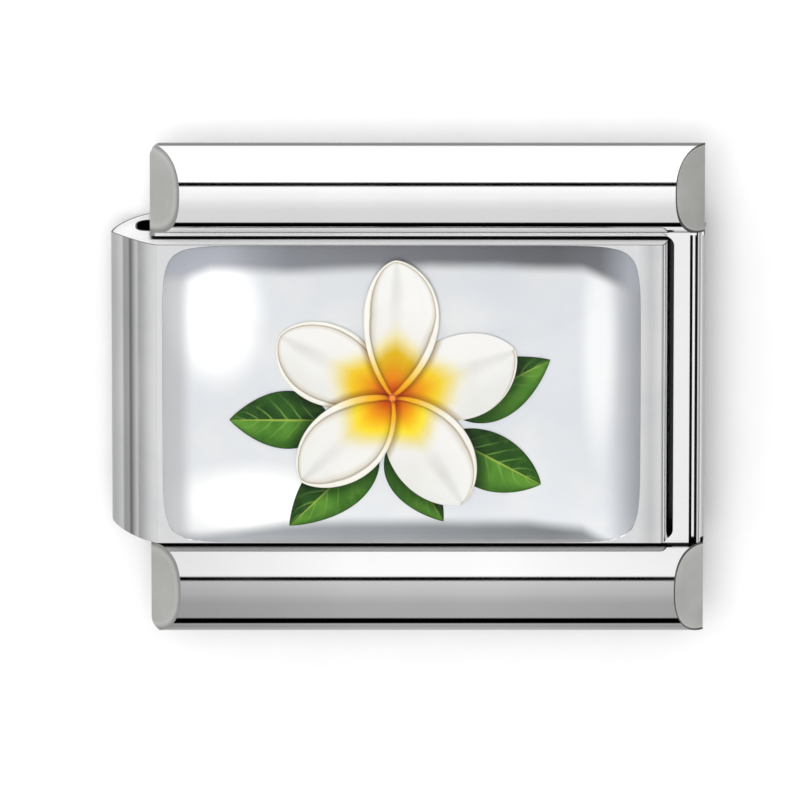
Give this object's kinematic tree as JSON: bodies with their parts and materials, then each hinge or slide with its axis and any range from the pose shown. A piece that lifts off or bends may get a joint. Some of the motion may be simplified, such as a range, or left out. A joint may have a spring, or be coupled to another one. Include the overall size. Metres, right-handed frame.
{
  "type": "modular bracelet charm link",
  "caption": "Modular bracelet link: a flat steel sleeve with a printed plumeria flower under a clear resin dome, in a sprung steel frame that slides out when the bracelet stretches.",
  "frame": {"origin": "under the middle of the link at rest, on the surface that its flat back lies on", "axes": "+X along the bracelet, from the sleeve's rounded nose to the frame's band; +Y across the bracelet; +Z out of the face"},
  "size_m": [0.0102, 0.009, 0.0021],
  "materials": {
    "polished_steel": "polished stainless steel with fine hairline wear",
    "spring_steel": "plain rolled spring steel",
    "silver_film": "soft metallic silver film under the print",
    "clear_resin": "clear glossy cast resin",
    "petal_white": "printed white petals that turn yellow and orange towards the flower's eye",
    "leaf_green": "printed green leaves with pale midribs",
    "eye_orange": "printed orange eye"
  },
  "bodies": {
    "face": {"sleeve": "polished_steel", "leaf_spring": "spring_steel", "silver_film": "silver_film", "resin_dome": "clear_resin", "flower_eye": "eye_orange", "petal_top": "petal_white", "petal_lower_left": "petal_white", "petal_lower_right": "petal_white", "petal_right": "petal_white", "petal_upper_left": "petal_white", "leaf_left": "leaf_green", "leaf_upper_right": "leaf_green", "leaf_lower_right": "leaf_green", "leaf_lower_left": "leaf_green", "leaf_bottom": "leaf_green"},
    "frame": {"outer_frame": "polished_steel"}
  },
  "joints": [
    {"name": "frame_slide", "type": "slide", "parent": "face", "child": "frame", "axis": [1, 0, 0], "range_m": [0, 0.001], "stiffness_N_per_m": 500, "springref_m": -0.0004}
  ]
}
